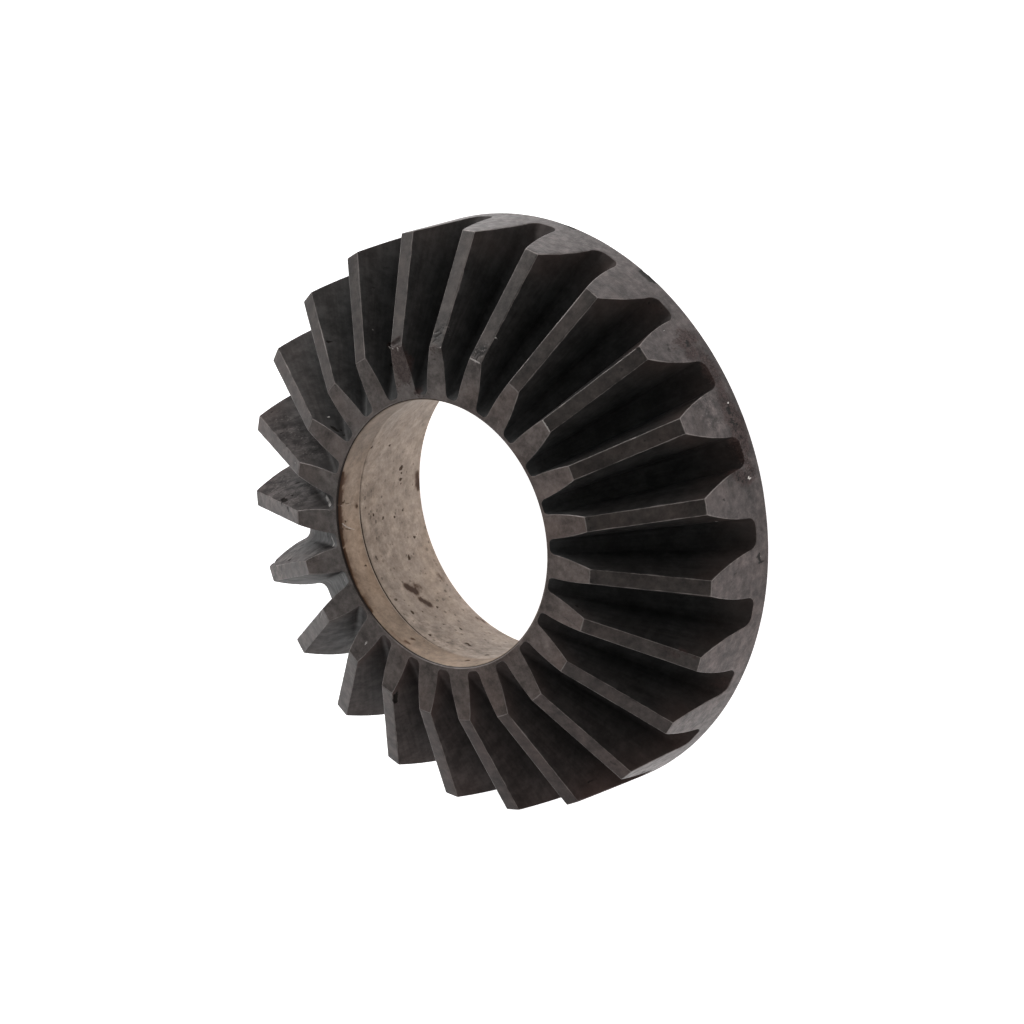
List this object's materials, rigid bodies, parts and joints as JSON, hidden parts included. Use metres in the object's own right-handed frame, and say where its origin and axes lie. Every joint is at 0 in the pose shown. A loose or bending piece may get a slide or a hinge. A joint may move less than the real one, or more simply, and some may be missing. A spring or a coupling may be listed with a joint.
{
  "type": "straight bevel pinion gear",
  "caption": "Straight bevel pinion gear in one solid piece of dark steel, with a flat back, a turned rim and a bore that is straight at the front and widens behind.",
  "frame": {"origin": "on the gear axis, in the plane of the flat back face", "axes": "+Z along the gear axis, from the back face to the small end of the teeth; +X through the middle of a tooth"},
  "size_m": [0.099, 0.099, 0.0243],
  "materials": {
    "dark_steel": "dark heat-treated steel, oily and matt, with worn light edges, small pits and rust stains, and a ground bore"
  },
  "bodies": {
    "root": {"pinion_gear": "dark_steel"}
  },
  "joints": []
}
